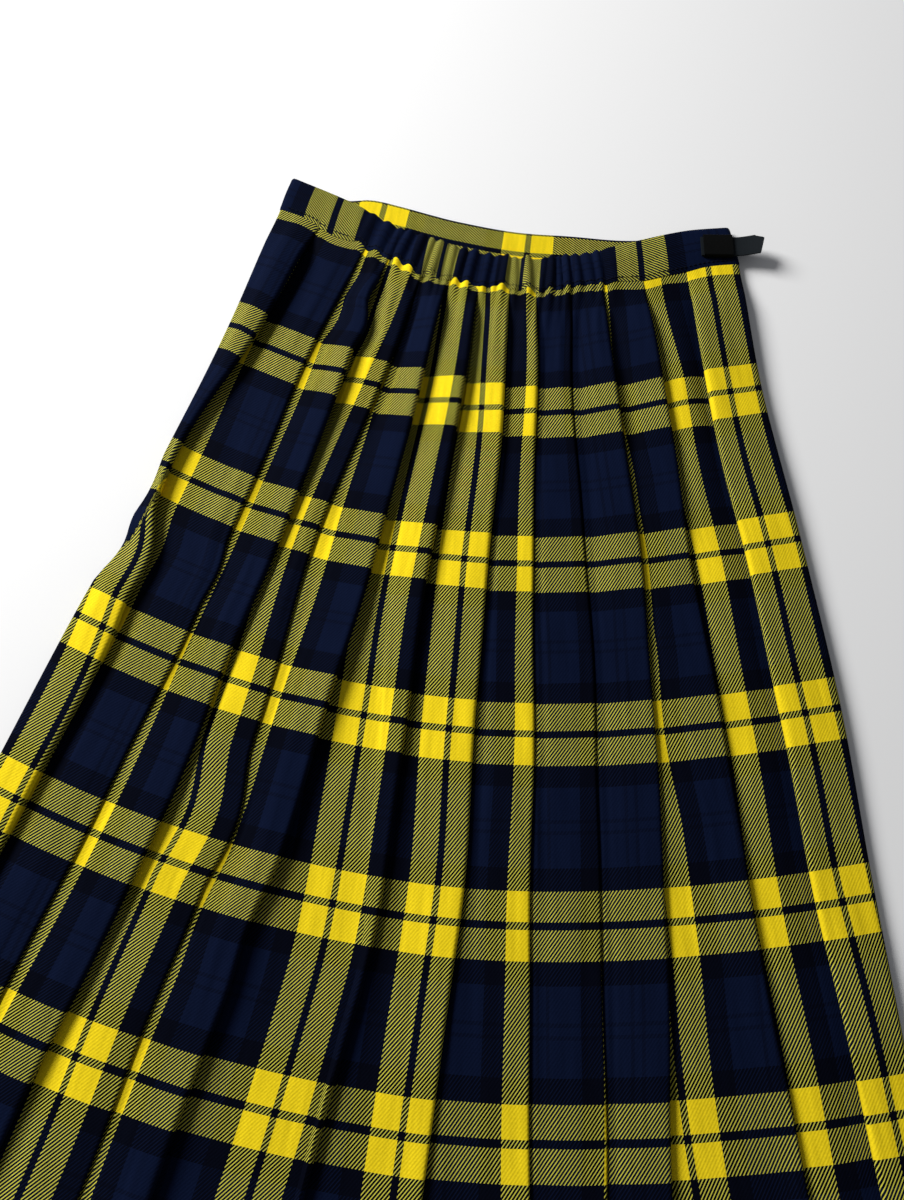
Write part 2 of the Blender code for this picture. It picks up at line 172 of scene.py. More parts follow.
# where the check lies along the bands: x on the band, place in the cloth
BACK_BAND_CHECK = ((-174, -22), (-155, 0), (-115, 37.7), (-62, 111), (-39, 148.7), (-2, 222), (23, 259.7),
                   (78, 333), (114, 370.7), (164, 421))
FRONT_BAND_CHECK = ((-174, -54), (-120, 0), (-8, 111), (154, 272))
BACK_BAND_ROW, FRONT_BAND_ROW = 52.0, 98.6     # the check's place at each band's top edge
BAND_NARROWS = (0.022, 0.055)          # part of its width that a band loses to its top, left and right
BAND_CREASE = 106.0    # x of a small crease beside the strap
SPARE = 3              # whole repeats added so that no place in the check falls below zero

# stitches: height over the seam, length, half thickness, and from one to the next
STITCH_UP, STITCH_LONG, STITCH_HALF = 3.0, 2.2, 0.46
STITCH_NEXT, STITCH_NEXT_GATHERED = 3.2, 2.5

STRAP_WIDE, STRAP_THICK = 15.8, 1.6
STRAP_START, STRAP_END = -12.0, 33.5
STRAP_Z = 7.6          # underside of the strap on the band
STRAP_FREE = 13.0      # from here on its end stands free and lifts
STRAP_LIFT = 5.5
STRAP_CORNER, STRAP_SLANT = 7.0, 4.0   # how its end is cut
KEEPER = (147.2, 43.4)
KEEPER_LONG, KEEPER_WIDE, KEEPER_THICK = 20.8, 18.0, 1.4
KEEPER_TURN = math.radians(7.0)


def curve(pairs, t):
    """Smooth curve through (t, value) pairs."""
    n = len(pairs)
    if t <= pairs[0][0]:
        return float(pairs[0][1])
    if t >= pairs[-1][0]:
        return float(pairs[-1][1])
    k = max(i for i in range(n - 1) if pairs[i][0] <= t)

    def slope(i):
        a, b = max(i - 1, 0), min(i + 1, n - 1)
        return (pairs[b][1] - pairs[a][1]) / (pairs[b][0] - pairs[a][0])

    (t0, p0), (t1, p1) = pairs[k][:2], pairs[k + 1][:2]
    h = t1 - t0
    s = (t - t0) / h
    return ((2 * s**3 - 3 * s**2 + 1) * p0 + (s**3 - 2 * s**2 + s) * h * slope(k)
            + (3 * s**2 - 2 * s**3) * p1 + (s**3 - s**2) * h * slope(k + 1))


def columns(names, rows):
    """Each column of a table as (first column, value) pairs."""
    return {name: tuple((row[0], row[c]) for row in rows) for c, name in enumerate(names)}


FOLD_CURVES = [tuple(zip(STATIONS, fold.x)) for fold in FOLDS]
SEAM_CURVES = columns(SEAM_COLUMNS, SEAM_LINE)
WAIST_CURVES = columns(WAIST_COLUMNS, WAIST)
LAST = len(FOLDS) - 1
WRAP = LAST - 1


def bump(t, place, reach):
    """1 at a place, soft to 0 at its reach."""
    return max(0.0, 1 - ((t - place) / reach) ** 2) ** 2


def ease(t):
    """0 up to t = 0, 1 from t = 1 on, soft between."""
    t = min(1.0, max(0.0, t))
    return t * t * (3 - 2 * t)


def shifts(table, i, v):
    """What a table of fold, place, reach and shift adds at a place down a fold."""
    return sum(shift * bump(v, place, reach) for fold, place, reach, shift in table if fold == i)


def fold_x(i, v):
    """Where a fold edge lies, without its own drift and bends."""
    x = curve(FOLD_CURVES[i], v)
    if i == 0:
        x += sum(deep * bump(v, where, reach) for where, reach, deep in SIDE_KINKS)
    return x


def waist(column, x):
    return curve(WAIST_CURVES[column], x)


def seam_height(x):
    """The band's height over the floor at the seam, level at the sides."""
    return waist("seam_z", min(150.0, max(-160.0, x)))


def side_x(x, v):
    return fold_x(0, v) if x < 0 else fold_x(LAST, v)


def spread(x, v):
    """Place across the skirt: 0 in the middle, 1 at its side."""
    return min(1.0, abs(x / side_x(x, v)))


def in_gathers(x):
    """1 along the gathered stretch of the band, 0 beside it."""
    return ease((x - GATHER_FROM) / 8.0) * ease((GATHER_TO - x) / 8.0)


def gather(x, q):
    """Cloth bunched on the elastic: ridges of uneven width and height; q is 0 at the seam, 1 at the top."""
    ridges = sum(g.high * bump(x, g.low_x + (g.top_x - g.low_x) * q, g.half) for g in GATHERS)
    return GATHER_SCALE * ridges - GATHER_FLOOR * in_gathers(x)


def tuck_here(x):
    """The small tuck at the side seam."""
    return bump(x, SIDE_SEAM, 2.6)


def seam_wave(x):
    """How the gathers and the side tuck pull the seam up and down."""
    pulls = sum(g.pull * bump(x, g.low_x, SEAM_SOFT * g.half) for g in GATHERS)
    return SEAM_PULL * pulls - SEAM_FLOOR * in_gathers(x) - 1.2 * tuck_here(x)


def seam_y(x):
    return curve(SEAM_CURVES["y"], x) + seam_wave(x)


def back_y(x, v):
    """Where a point of the back lies along the skirt: drawn up at the seam, fanned out below."""
    near = math.exp(-v / SEAM_FADE)
    s = spread(x, v)
    at_seam = s * side_x(x, 0)
    seam = waist("seam_y", at_seam)
    fan = SEAM_DIP + (FAN * s ** FAN_LEFT if x < 0 else (FAN + FAN_MORE * v) * s ** FAN_RIGHT)
    drawn = (curve(SEAM_CURVES["y"], at_seam) - seam) * math.exp(-v / DRAWN_FADE)
    wave = seam_wave(at_seam) * math.exp(-v / WAVE_FADE)
    return near * seam + (1 - near) * fan - v + drawn + wave


def front_y(x, v):
    """Where a point of the front lies along the skirt."""
    s = spread(x, v)
    return waist("front_top_y", s * side_x(x, 0)) - BAND_HIGH - SEAM - v + FRONT_FAN * v * s ** FAN_RIGHT


def wander(i, v, size, first, second):
    """A slow uneven drift along a fold, the same each run."""
    return size * (math.sin(v / first + 1.7 * i) + 0.6 * math.sin(v / second + 2.9 * i)) * ease(v / 60.0)


def edge_x(i, v):
    """Where a fold edge really lies."""
    x = fold_x(i, v)
    if 0 < i < LAST:
        x += wander(i, v, 0.6, 47.0, 21.0)
    return x + shifts(BENDS, i, v)


def check_at(i, v):
    """The check's place across the cloth, in its own repeat, at a fold edge."""
    top, low = FOLDS[i].check_top, FOLDS[i].check_low
    return top + (low - top) * v / CHECK_LOW + shifts(CHECK_SHIFTS, i, v)


def side_shift(x, v):
    if v < SIDE_END[0][0]:
        return 0.0
    right_of_it = 1.0 if v > SIDE_END[-1][0] else ease((x - curve(SIDE_END, v)) / 2.0 + 0.5)
    return (SIDE_CHECK - SIDE_CHECK_LOSS * ease((v - 300.0) / 100.0)) * right_of_it


def fold_rise(i, v):
    """How far a fold stands over the back's lowest layer."""
    at_seam = seam_height(fold_x(i, 0)) - Z_BASE
    puffed = max(3.8, curve(RISE, v) * FOLDS[i].puff * (1 + wander(i, v, 0.07, 53.0, 24.0)))
    k = ease(v / 30.0)
    return at_seam * (1 - k) + puffed * k


def roll(rise):
    """Radius of a fold edge."""
    return min(2.4, 0.4 * (rise - LAYER))


def side_tuck(wide):
    """How far the left side rolls under, where its outer strip is this wide."""
    return min(CURL, 0.22 * wide)


def underlay(i, v):
    """How deep the cloth runs back under a fold, by what the pleat's cloth leaves for it."""
    wide = edge_x(i, v) - edge_x(i - 1, v)
    deep = min(TUCK_MAX, 0.68 * wide, 0.5 * (FOLDS[i].cloth - wide))
    if i == 1:
        deep = min(deep, wide - side_tuck(wide) - 3.0)
    return max(3.0, deep)


def panel_z(x, a, b, end, rise, beside):
    """Height of a pleat's upper side: up from the valley beside the fold before it to its own fold."""
    climb = FIRST_STEP * ease((x - a) / (b - a))
    climb += (rise - FIRST_STEP) * max(0.0, (x - b) / (end - b)) ** 0.8
    return max(climb, beside * (1 - 0.55 * ease((x - a) / (b - a + 5.0))))


def crease(x, v, i):
    """Small soft troughs and swells over a panel, tighter near the gathered seam."""
    slow = 0.35 * math.sin(v / 31.0 + x / 23.0 + i) + 0.25 * math.sin(v / 13.7 - x / 11.0 + 2.1 * i)
    left, right = edge_x(i - 1, v), edge_x(i, v)
    for c in CREASES:
        if c.pleat == i:
            ends = ease((v - c.start + (12.0 if c.start == 0 else 0.0)) / 36.0) * ease((c.end - v) / 50.0)
            slow += c.high * ends * bump(x, left + c.across * (right - left), c.half)
    return slow


def arc(pts):
    """Length along a chain of points, at each point."""
    total, out = 0.0, [0.0]
    for (x0, z0), (x1, z1) in zip(pts, pts[1:]):
        total += math.hypot(x1 - x0, z1 - z0)
        out.append(total)
    return out


# points in each stretch of the section
PANEL_POINTS = 15
VALLEY_POINTS = 7
SIDE_POINTS = 8
WRAP_POINTS = 14
OVER_WRAP_POINTS = 9
TURN_POINTS = 8
ROLL_POINTS = 6
HALF_ROLL = ROLL_POINTS // 2


def roll_points(x, top, r, way):
    """A fold edge from its top to its underside; way is 1 where it faces right."""
    out = []
    for k in range(ROLL_POINTS + 1):
        t = math.pi * k / ROLL_POINTS
        out.append((x - way * r + way * r * math.sin(t), top - r + r * math.cos(t)))
    return out


def inner_fold(x, r, rise, inner, way):
    """From a fold edge's underside to the inner fold of its underlay, and back to the pleat's floor."""
    return [(0.5 * (x - way * r + inner), 0.5 * (Z_BASE + rise - 2 * r + Z_BASE + LAYER)),
            (inner + way * 0.7, Z_BASE + LAYER), (inner + way * 0.2, Z_BASE + 1.2),
            (inner, Z_BASE + LAYER / 2), (inner + way * 0.2, Z_BASE + 0.2),
            (inner + way * 0.7, Z_BASE), (0.5 * (inner + x), Z_BASE)]


def left_side(v):
    """Rolled under at the left, then over the top towards the first fold."""
    left, first = fold_x(0, v), edge_x(1, v)
    wide, rise, rise_1 = first - left, fold_rise(0, v), fold_rise(1, v)
    turn = min(3.0, 0.2 * wide)
    pts = [(left + side_tuck(wide), Z_BASE)]
    for k in range(1, TURN_POINTS):
        t = math.pi * (0.5 + k / TURN_POINTS)
        pts.append((left + turn + turn * math.cos(t), Z_BASE + rise / 2 - rise / 2 * math.sin(t)))
    a, end = left + turn, first - roll(rise_1)
    for k in range(SIDE_POINTS):
        t = k / SIDE_POINTS
        x = a + t * (end - a)
        swell = 0.8 * math.sin(math.pi * t) * min(1.0, wide / 20.0)
        z = Z_BASE + rise + t * (rise_1 - rise) + swell + crease(x, v, 1) * math.sin(math.pi * t)
        pts.append((x, z))
    return pts


def pleat_top(i, v):
    """A pleat's upper side, from the valley beside the fold before it towards its own fold."""
    x, rise = edge_x(i, v), fold_rise(i, v)
    a, b, end = edge_x(i - 1, v) + 1.0, x - underlay(i, v) - 1.6, x - roll(rise)
    beside = (1 - FOLDS[i - 1].valley) * max(0.0, fold_rise(i - 1, v) - 1.3) * ease(v / 30.0)
    pts = [(a, Z_BASE)]
    for k in range(1, VALLEY_POINTS):
        px = a + (b - a) * k / VALLEY_POINTS
        pts.append((px, Z_BASE + panel_z(px, a, b, end, rise, beside)))
    for k in range(PANEL_POINTS):
        t = k / PANEL_POINTS
        px = b + t * (end - b)
        pz = Z_BASE + panel_z(px, a, b, end, rise, beside)
        pts.append((px, pz + max(-0.2, crease(px, v, i)) * math.sin(math.pi * t) * (0.4 + 0.6 * t)))
    return pts


def under_wrap(v):
    """The last panel, which runs on flat to the wrap edge."""
    a, end, rise = edge_x(WRAP - 1, v) + 1.0, edge_x(WRAP, v), fold_rise(WRAP, v)
    pts = []
    for k in range(WRAP_POINTS):
        t = k / WRAP_POINTS
        x = a + t * (end - a)
        pts.append((x, Z_BASE + 0.34 * rise * math.sin(math.pi * t) ** 0.9
                    + max(-0.2, crease(x, v, WRAP)) * 0.5 * math.sin(math.pi * t)))
    return pts + [(end, Z_BASE)]


def wrap_top(v, edge):
    """From the wrap edge over to the right side, which rolls under."""
    x_wrap, right = edge_x(WRAP, v), fold_x(LAST, v)
    rise, side = fold_rise(WRAP, v), max(fold_rise(LAST, v), 4.2)
    r, turn = roll(rise), 3.0
    pts = edge[HALF_ROLL:]
    for k in range(1, OVER_WRAP_POINTS + 1):
        t = k / OVER_WRAP_POINTS
        x = x_wrap + r + t * (right - turn - x_wrap - r)
        pts.append((x, Z_BASE + rise + t * (side - rise) + crease(x, v, LAST) * math.sin(math.pi * t)))
    for k in range(1, TURN_POINTS):
        t = math.pi * (0.5 - k / TURN_POINTS)
        pts.append((right - turn + turn * math.cos(t), Z_BASE + side / 2 + side / 2 * math.sin(t)))
    return pts + [(right - wrap_tuck(v), Z_BASE)]


def wrap_tuck(v):
    """How far the right side rolls under."""
    return min(CURL, 0.25 * (fold_x(LAST, v) - edge_x(WRAP, v)))


def back_runs(v):
    """The section in turns, left to right: (fold, points that show, hidden points after them)."""
    runs = []
    for i in range(1, WRAP):
        x, rise = edge_x(i, v), fold_rise(i, v)
        r = roll(rise)
        edge = roll_points(x, Z_BASE + rise, r, 1)
        top = left_side(v) if i == 1 else pleat_top(i, v)
        hidden = edge[HALF_ROLL + 1:] + inner_fold(x, r, rise, x - underlay(i, v), 1)
        runs.append((i, top + edge[:HALF_ROLL + 1], hidden))
    x, rise, wide = edge_x(WRAP, v), fold_rise(WRAP, v), fold_x(LAST, v) - edge_x(WRAP, v)
    r = roll(rise)
    edge = roll_points(x, Z_BASE + rise, r, -1)[::-1]
    inner = x + max(4.0, min(23.0, wide - wrap_tuck(v) - 5.0))
    runs.append((WRAP, under_wrap(v), inner_fold(x, r, rise, inner, -1)[::-1] + edge[:HALF_ROLL]))
    runs.append((LAST, wrap_top(v, edge), []))
    return runs


def back_section(v):
    """Mid-wall points (x, z, place in the check, hidden) of the pleated back, left to right.

    The check's place is true to the cloth's length where it shows. Under a fold it is true from both
    ends, and what is left over jumps deep inside.
    """
    flat, waiting = [], []
    for fold, pts, hidden in back_runs(v):
        lengths = arc(pts)
        start = REPEATS[fold] + (WRAP_PLACE if fold == LAST else check_at(fold, v) - lengths[-1])
        if waiting:
            last_u = flat[-1][2]
            under = arc([flat[-1][:2]] + waiting + [pts[0]])
            for j, (x, z) in enumerate(waiting):
                from_left = j < len(waiting) * 0.6
                u = last_u + under[j + 1] if from_left else start - (under[-1] - under[j + 1])
                flat.append((x, z, u, True))
        flat += [(x, z, start + s + (side_shift(x, v) if fold == 1 else 0.0), False)
                 for (x, z), s in zip(pts, lengths)]
        waiting = hidden
    return flat


def whole_repeats():
    """Whole repeats of the check before each fold, so that the cloth runs on from pleat to pleat."""
    v, out, last = 300.0, [0.0, 0.0], check_at(1, 300.0)
    for i in range(2, LAST):
        first = check_at(i, v) - (fold_x(i, v) - fold_x(i - 1, v))
        under = 2 * underlay(i - 1, v)
        count = max(0, round((last + under - first) / SETT_ACROSS))
        out.append(count * SETT_ACROSS)
        last = check_at(i, v) + count * SETT_ACROSS
    out.append(math.ceil((last + 30.0) / SETT_ACROSS) * SETT_ACROSS)
    return out


REPEATS = whole_repeats()


def offset(pts, half):
    """The chain moved to both sides by half the wall, with mitred corners."""
    up, down = [], []
    for k, point in enumerate(pts):
        x, z = point[:2]
        normals = []
        for a, b in ((k - 1, k), (k, k + 1)):
            if a >= 0 and b < len(pts):
                dx, dz = pts[b][0] - pts[a][0], pts[b][1] - pts[a][1]
                size = math.hypot(dx, dz) or 1e-9
                normals.append((-dz / size, dx / size))
        nx, nz = sum(n[0] for n in normals), sum(n[1] for n in normals)
        size = math.hypot(nx, nz) or 1e-9
        nx, nz = nx / size, nz / size
        grow = half / max(0.6, nx * normals[0][0] + nz * normals[0][1])
        up.append((x + nx * grow, z + nz * grow))
        down.append((x - nx * grow, z - nz * grow))
    return up, down


# the shells are placed by the solids, which the source centres on the whole skirt's box
X_MID = (fold_x(0, LENGTH) + 3.0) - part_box("skirt_front")[0][0] * 1000
hem_low = min(back_y(x, LENGTH) for x in range(-60, 61, 2))
Y_MID = hem_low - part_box("skirt_back")[0][1] * 1000


def place(x, y, z):
    """From the skirt's own millimetres to the frame's metres."""
    return ((x - X_MID) * 0.001, (y - Y_MID) * 0.001, z * 0.001)


def link(ob):
    bpy.context.scene.collection.objects.link(ob)
    return ob


def wall(name, upper, lower, cloth, material):
    """A closed shell from two grids of points; cloth is the same grid of places in the check."""
    rows, cols = len(upper), len(upper[0])
    verts = [place(*p) for row in upper for p in row] + [place(*p) for row in lower for p in row]
    uv = [c for row in cloth for c in row] * 2
    low = rows * cols
    faces = []
    for r in range(rows - 1):
        for c in range(cols - 1):
            a, b = r * cols + c, r * cols + c + 1
            d, e = a + cols, b + cols
            faces.append((a, d, e, b))
            faces.append((low + a, low + b, low + e, low + d))
    for c in range(cols - 1):
        faces.append((c, c + 1, low + c + 1, low + c))
        a = (rows - 1) * cols + c
        faces.append((a, low + a, low + a + 1, a + 1))
    for r in range(rows - 1):
        a, b = r * cols, (r + 1) * cols
        faces.append((a, low + a, low + b, b))
        a, b = a + cols - 1, b + cols - 1
        faces.append((a, b, low + b, low + a))
    mesh = bpy.data.meshes.new(name)
    mesh.from_pydata(verts, [], faces)
    mesh.update()
    layer = mesh.uv_layers.new(name="cloth")
    for loop in mesh.loops:
        layer.data[loop.index].uv = uv[loop.vertex_index]
    mesh.polygons.foreach_set("use_smooth", [True] * len(faces))
    mesh.set_sharp_from_angle(angle=math.radians(62))
    mesh.materials.append(material)
    return link(bpy.data.objects.new(name, mesh))


# materials

def nodes_of(name):
    mat = bpy.data.materials.new(name)
    mat.use_nodes = True
    tree = mat.node_tree
    return mat, tree, tree.nodes["Principled BSDF"]


def add(tree, kind, **values):
    node = tree.nodes.new(kind)
    for key, value in values.items():
        setattr(node, key, value)
    return node


def put(tree, value, socket):
    """A number, a colour or another node's output goes into a socket."""
    if isinstance(value, bpy.types.NodeSocket):
        tree.links.new(value, socket)
    else:
        socket.default_value = value


def math_node(tree, op, *values):
    node = add(tree, "ShaderNodeMath", operation=op)
    for slot, value in enumerate(values):
        put(tree, value, node.inputs[slot])
    return node.outputs[0]


def mixed(tree, factor, a, b, blend="MIX"):
    """Colour b over colour a."""
    node = add(tree, "ShaderNodeMix", data_type="RGBA", blend_type=blend)
    for name, value in (("Factor", factor), ("A", a), ("B", b)):
        put(tree, value, node.inputs[name])
    return node.outputs["Result"]


def noise(tree, where, scale, detail):
    node = add(tree, "ShaderNodeTexNoise")
    node.inputs["Scale"].default_value = scale
    node.inputs["Detail"].default_value = detail
    tree.links.new(where, node.inputs["Vector"])
    return node.outputs[0]


def ranged(tree, value, low, high):
    node = add(tree, "ShaderNodeMapRange")
    node.inputs["To Min"].default_value = low
    node.inputs["To Max"].default_value = high
    tree.links.new(value, node.inputs["Value"])
    return node.outputs[0]


def scaled(tree, colour, by):
    node = add(tree, "ShaderNodeVectorMath", operation="SCALE")
    put(tree, colour, node.inputs[0])
    tree.links.new(by, node.inputs["Scale"])
    return node.outputs[0]


def raised(tree, shader, height, strength, distance):
    """Relief in the light only."""
    node = add(tree, "ShaderNodeBump")
    node.inputs["Strength"].default_value = strength
    node.inputs["Distance"].default_value = distance
    tree.links.new(height, node.inputs["Height"])
    tree.links.new(node.outputs[0], shader.inputs["Normal"])


def matt(shader, rough, spec):
    shader.inputs["Roughness"].default_value = rough
    shader.inputs["Specular IOR Level"].default_value = spec


YELLOW = (0.83, 0.62, 0.012)
YELLOW_AMONG_DARK = (0.64, 0.60, 0.07)   # a yellow yarn that crosses dark ones, dimmed by their fluff
NAVY = (0.0028, 0.0058, 0.0215)
NAVY_LINE = (0.0022, 0.0040, 0.0140)
BLACK = (0.0012, 0.0018, 0.0055)
# one repeat of the check, from the left edge of the first yellow stripe: start of each stripe in
# hundredths of the repeat, and its colour
STRIPES = (
    (0.0, YELLOW), (15.0, BLACK), (19.0, YELLOW), (34.0, BLACK), (46.0, NAVY), (63.0, NAVY_LINE),
    (65.0, NAVY), (69.0, NAVY_LINE), (71.0, NAVY), (88.0, BLACK),
)


def stripes(tree, place_out):
    ramp = add(tree, "ShaderNodeValToRGB")
    ramp.color_ramp.interpolation = "CONSTANT"
    marks = ramp.color_ramp.elements
    while len(marks) < len(STRIPES):
        marks.new(0.5)
    for mark, (start, colour) in zip(marks, STRIPES):
        mark.position = start / 100.0
        mark.color = (*colour, 1.0)
    tree.links.new(place_out, ramp.inputs[0])
    return ramp.outputs[0]


def red_of(tree, colour):
    parts = add(tree, "ShaderNodeSeparateColor")
    tree.links.new(colour, parts.inputs[0])
    return parts.outputs[0]


def check_twill(name, across, along, lean):
    """The woven check: warp stripes across, weft stripes along, and leaning twill lines between them."""
    mat, tree, shader = nodes_of(name)
    uv = add(tree, "ShaderNodeUVMap", uv_map="cloth").outputs[0]
    split = add(tree, "ShaderNodeSeparateXYZ")
    tree.links.new(uv, split.inputs[0])
    u, v = split.outputs[0], split.outputs[1]
    warp = stripes(tree, math_node(tree, "FRACT", math_node(tree, "DIVIDE", u, across * 0.001)))
    weft = stripes(tree, math_node(tree, "FRACT", math_node(tree, "DIVIDE", v, along * 0.001)))
    phase = math_node(tree, "ADD", math_node(tree, "DIVIDE", u, lean[0] * 0.001),
                      math_node(tree, "DIVIDE", v, lean[1] * 0.001))
    line = math_node(tree, "FRACT", phase)
    rib = math_node(tree, "FRACT", math_node(tree, "MULTIPLY", line, 2.0))
    # warp and weft take turns, rib by rib, and a yellow yarn that crosses dark ones is dimmed
    yarn = mixed(tree, math_node(tree, "LESS_THAN", line, 0.5), weft, warp)
    dark = mixed(tree, 1.0, warp, weft, "DARKEN")
    gap = math_node(tree, "SUBTRACT", red_of(tree, yarn), red_of(tree, dark))
    dimmed = mixed(tree, math_node(tree, "GREATER_THAN", gap, 0.5), yarn, (*YELLOW_AMONG_DARK, 1.0))
    # painted shade: between two ribs the darker yarn's colour stands in for the shadowed gap between twill
    # ribs, and a little of it is mixed into the rib too
    unshaded_rib = math_node(tree, "MULTIPLY", math_node(tree, "LESS_THAN", rib, RIB_UNSHADED_PART), RIB_UNSHADED_WEIGHT)
    woven_with_rib_shade = mixed(tree, unshaded_rib, dark, dimmed)
    # uneven yarn: a fine speckle and a slow drift of shade
    speckle = noise(tree, uv, 900.0, 2.0)
    stretch = add(tree, "ShaderNodeMapping")
    stretch.inputs["Scale"].default_value = (260.0, 24.0, 1.0)
    tree.links.new(uv, stretch.inputs["Vector"])
    slub = noise(tree, stretch.outputs[0], 1.0, 1.0)
    shade = math_node(tree, "MULTIPLY", ranged(tree, speckle, 0.78, 1.22), ranged(tree, slub, 0.75, 1.25))
    # the base colour holds the painted shade between twill ribs
    tree.links.new(scaled(tree, woven_with_rib_shade, shade), shader.inputs["Base Color"])
    # twill ribs stand up in the light
    ribs = math_node(tree, "SINE", math_node(tree, "MULTIPLY", phase, 2 * math.pi))
    height = math_node(tree, "ADD", math_node(tree, "MULTIPLY", ribs, 0.5), speckle)
    raised(tree, shader, height, 0.35, 0.0002)
    matt(shader, 0.85, 0.02)
    return mat


def plain(name, colour, rough, spec, scale, depth):
    """One dark colour with a fine grain."""
    mat, tree, shader = nodes_of(name)
    where = add(tree, "ShaderNodeTexCoord").outputs["Object"]
    grain = noise(tree, where, scale, 4.0)
    tree.links.new(scaled(tree, colour, ranged(tree, grain, 0.7, 1.3)), shader.inputs["Base Color"])
    raised(tree, shader, grain, 0.3, depth)
    matt(shader, rough, spec)
    return mat


skirt_cloth = check_twill("skirt_check", SETT_ACROSS, SETT_ALONG, (TWILL_ACROSS, TWILL_ALONG))
band_cloth = check_twill("band_check", SETT_ALONG, SETT_ACROSS, (-TWILL_ALONG, TWILL_ACROSS))
strap_black = plain("strap_black", (0.0085, 0.011, 0.0135), 0.6, 0.06, 1100.0, 0.0004)
thread = plain("thread_navy", (0.004, 0.005, 0.010), 0.8, 0.05, 2500.0, 0.0002)
keeper_black = plain("keeper_black", (0.0028, 0.003, 0.003), 0.65, 0.04, 700.0, 0.0005)


def row_step(v):
    """From one row to the next: close near the gathered seam and the hem, less so at the side's end."""
    if v < 42.0 or abs(v - LENGTH + HEM) < 4.0:
        return 2.6
    return 5.0 if SIDE_END[0][0] < v < SIDE_END[-1][0] else 9.0


ROWS = [0.15]
while ROWS[-1] < LENGTH:
    ROWS.append(min(LENGTH, ROWS[-1] + row_step(ROWS[-1])))


def seam_flat(x, z, v, hidden):
    """Near the seam the pleats are sewn flat, so their valleys come up to the band's height."""
    k = (0.5 if hidden else 0.93) * (1 - ease(v / 38.0)) * ease((158.0 - abs(x)) / 12.0)
    bunched = gather(x, 0) * math.exp(-v / 20.0) - 0.8 * tuck_here(x) * math.exp(-v / 12.0)
    return z + k * max(0.0, seam_height(x) - z) + bunched


AT_SEAM = SPARE * SETT_ALONG - FIRST_LINE + LINE_IN_SETT


def row_place(x, v):
    """The check's place down the cloth, drawn up a little where it is sewn to the band."""
    drawn_up = YELLOW_ENDS * SETT_ALONG - AT_SEAM % SETT_ALONG - curve(SEAM_CURVES["stripe"], x)
    return AT_SEAM + v + drawn_up * (1 - ease(v / 60.0))


def make_back():
    upper, lower, cloth = [], [], []
    for v in ROWS:
        pts = [(x, seam_flat(x, z, v, hidden), u) for x, z, u, hidden in back_section(v)]
        up, down = offset(pts, SHELL * (0.4 + 0.6 * ease(v / 46.0)))
        hem = 0.25 * ease((v - LENGTH + HEM) / 3.0)
        upper.append([(x, back_y(x, v), z + hem) for x, z in up])
        lower.append([(x, back_y(x, v), z) for x, z in down])
        cloth.append([((u + SETT_ACROSS) * 0.001, row_place(x, v) * 0.001) for x, _, u in pts])
    return wall("skirt_back_cloth", upper, lower, cloth, skirt_cloth)


def pressed(x, v):
    """The front's own soft ridges, none at its edges, where it lies flat."""
    down = v / LENGTH
    ridges = sum(p.high * bump(x, p.top_x + (p.low_x - p.top_x) * down, p.half * (1 + down))
                 for p in PRESSES)
    return ridges * ease(v / 60.0) * (0.7 + 0.3 * math.sin(v / 71.0 + x / 90.0))


def evenly(start, end, steps):
    """Values from start to end, evenly apart."""
    return [start + (end - start) * k / steps for k in range(steps + 1)]


def make_front():
    upper, lower, cloth = [], [], []
    for v in ROWS[::2] + ([ROWS[-1]] if len(ROWS) % 2 == 0 else []):
        xs = evenly(fold_x(0, v) + 3.0, fold_x(LAST, v) - 3.0, 40)
        swell = [pressed(x, v) for x in xs]
        upper.append([(x, front_y(x, v), WALL + 0.8 * z) for x, z in zip(xs, swell)])
        lower.append([(x, front_y(x, v), z) for x, z in zip(xs, swell)])
        cloth.append([((x + 5 * SETT_ACROSS) * 0.001, (AT_SEAM + v) * 0.001) for x in xs])
    return wall("skirt_front_cloth", upper, lower, cloth, skirt_cloth)


# on the bands q is 0 at the seam and 1 at the top edge

def band_narrow(x, q):
    return x * (1 - q * BAND_NARROWS[x > 0])


def back_band_y(x, q):
    return (1 - q) * (seam_y(x) + 0.15) + q * (waist("back_top_y", x) + 0.7 * gather(x, 1))


def band_z(x, q):
    """Height of the back band's middle: swollen between its edges, gathered, one crease by the strap."""
    flat = (1 - q) * waist("seam_z", x) + q * waist("top_z", x) + 1.2 * math.sin(math.pi * q)
    pulled = 0.55 * bump(q, 0.42 + 0.012 * (x - BAND_CREASE), 0.07) * bump(x, BAND_CREASE, 9.0)
    return flat + gather(x, q) - pulled - 0.8 * tuck_here(x) * max(0.0, 1 - 2.2 * q)


